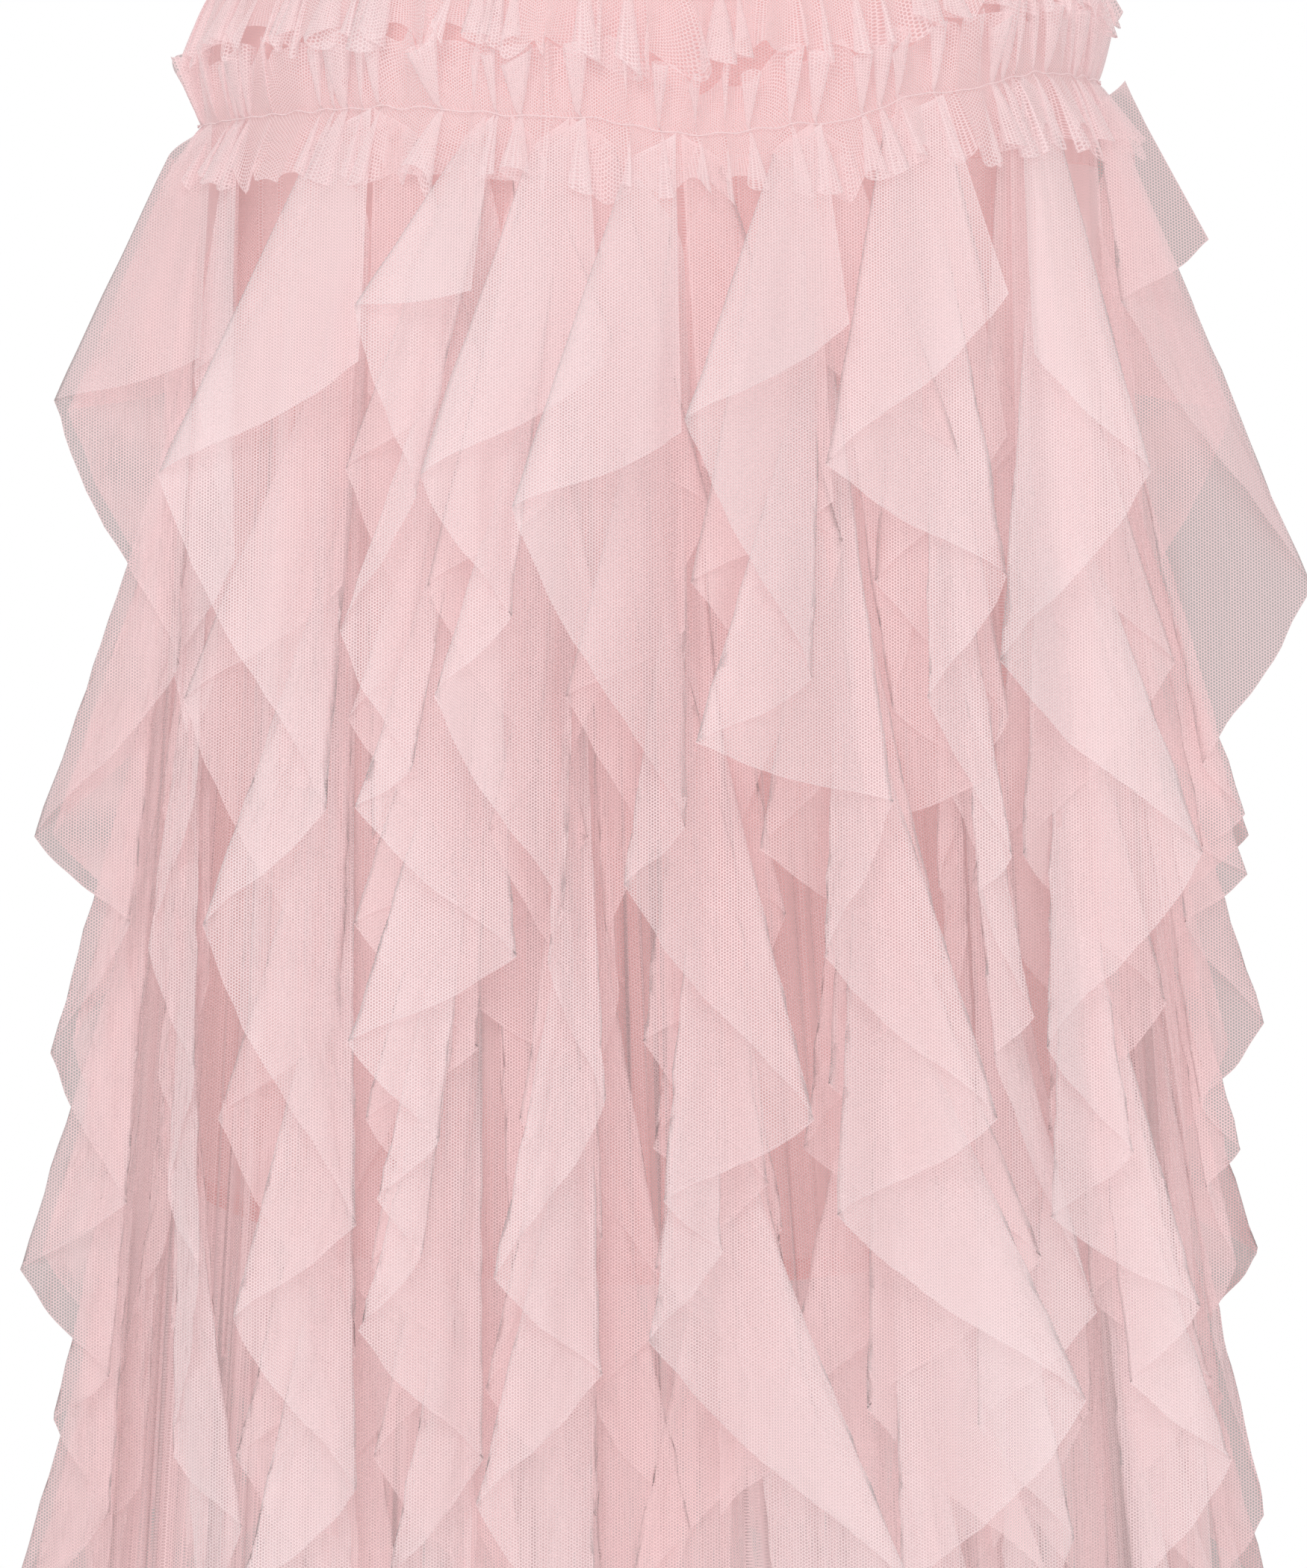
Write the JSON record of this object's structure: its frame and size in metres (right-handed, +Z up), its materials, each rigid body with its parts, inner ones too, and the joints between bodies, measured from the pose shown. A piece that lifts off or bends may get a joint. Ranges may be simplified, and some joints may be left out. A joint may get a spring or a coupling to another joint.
{
  "type": "ruffle skirt",
  "caption": "Long net skirt held open as worn: waistband, fitted yoke, gathered heading rows, cascading ruffles all round, net under-skirt and a shorter lining.",
  "frame": {"origin": "middle of the waist opening, level with the waistband's top edge", "axes": "+Z up, the front faces -Y, +X to the right as seen from the front"},
  "size_m": [0.5197, 0.486, 0.845],
  "materials": {
    "net": "matt",
    "lining_fabric": "satin",
    "band_fabric": "matt"
  },
  "bodies": {
    "root": {"waistband": "band_fabric", "yoke": "net", "lining": "lining_fabric", "net_skirt": "net", "heading_lower": "net", "heading_upper": "net", "ruffle_side_left": "net", "ruffle_left_outer": "net", "ruffle_left": "net", "ruffle_left_inner": "net", "ruffle_centre_left": "net", "ruffle_centre": "net", "ruffle_centre_right": "net", "ruffle_right_inner": "net", "ruffle_right": "net", "ruffle_side_right": "net", "back_ruffle_side_right": "net", "back_ruffle_right": "net", "back_ruffle_right_inner": "net", "back_ruffle_centre_right": "net", "back_ruffle_centre": "net", "back_ruffle_centre_left": "net", "back_ruffle_left_inner": "net", "back_ruffle_left": "net", "back_ruffle_side_left": "net"}
  },
  "joints": []
}
